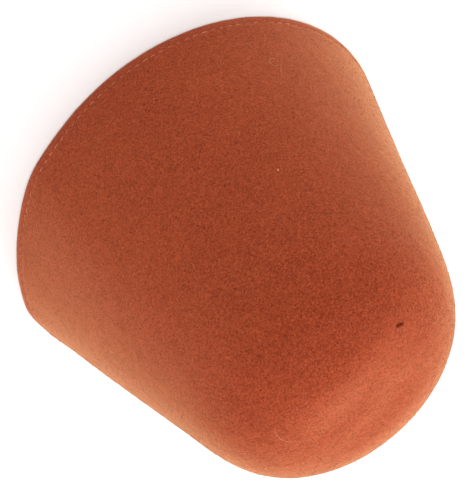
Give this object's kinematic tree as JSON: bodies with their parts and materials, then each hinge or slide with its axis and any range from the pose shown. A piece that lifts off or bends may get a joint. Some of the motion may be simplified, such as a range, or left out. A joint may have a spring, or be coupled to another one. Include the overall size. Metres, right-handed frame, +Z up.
{
  "type": "felt sauna hat",
  "caption": "Oval, tapering felt hat with a low rounded crown, an open rim and a stitched hem, for a head in a sauna.",
  "frame": {"origin": "middle of the oval rim, on the surface that the hat rests on", "axes": "+X along the length of the oval, +Y across it, away from the side that the picture shows, +Z up through the crown"},
  "size_m": [0.2095, 0.1842, 0.167],
  "materials": {
    "felt": "rust orange wool felt with a soft nap",
    "thread": "matt sewing thread, a little lighter than the felt"
  },
  "bodies": {
    "root": {"crown": "felt"}
  },
  "joints": []
}
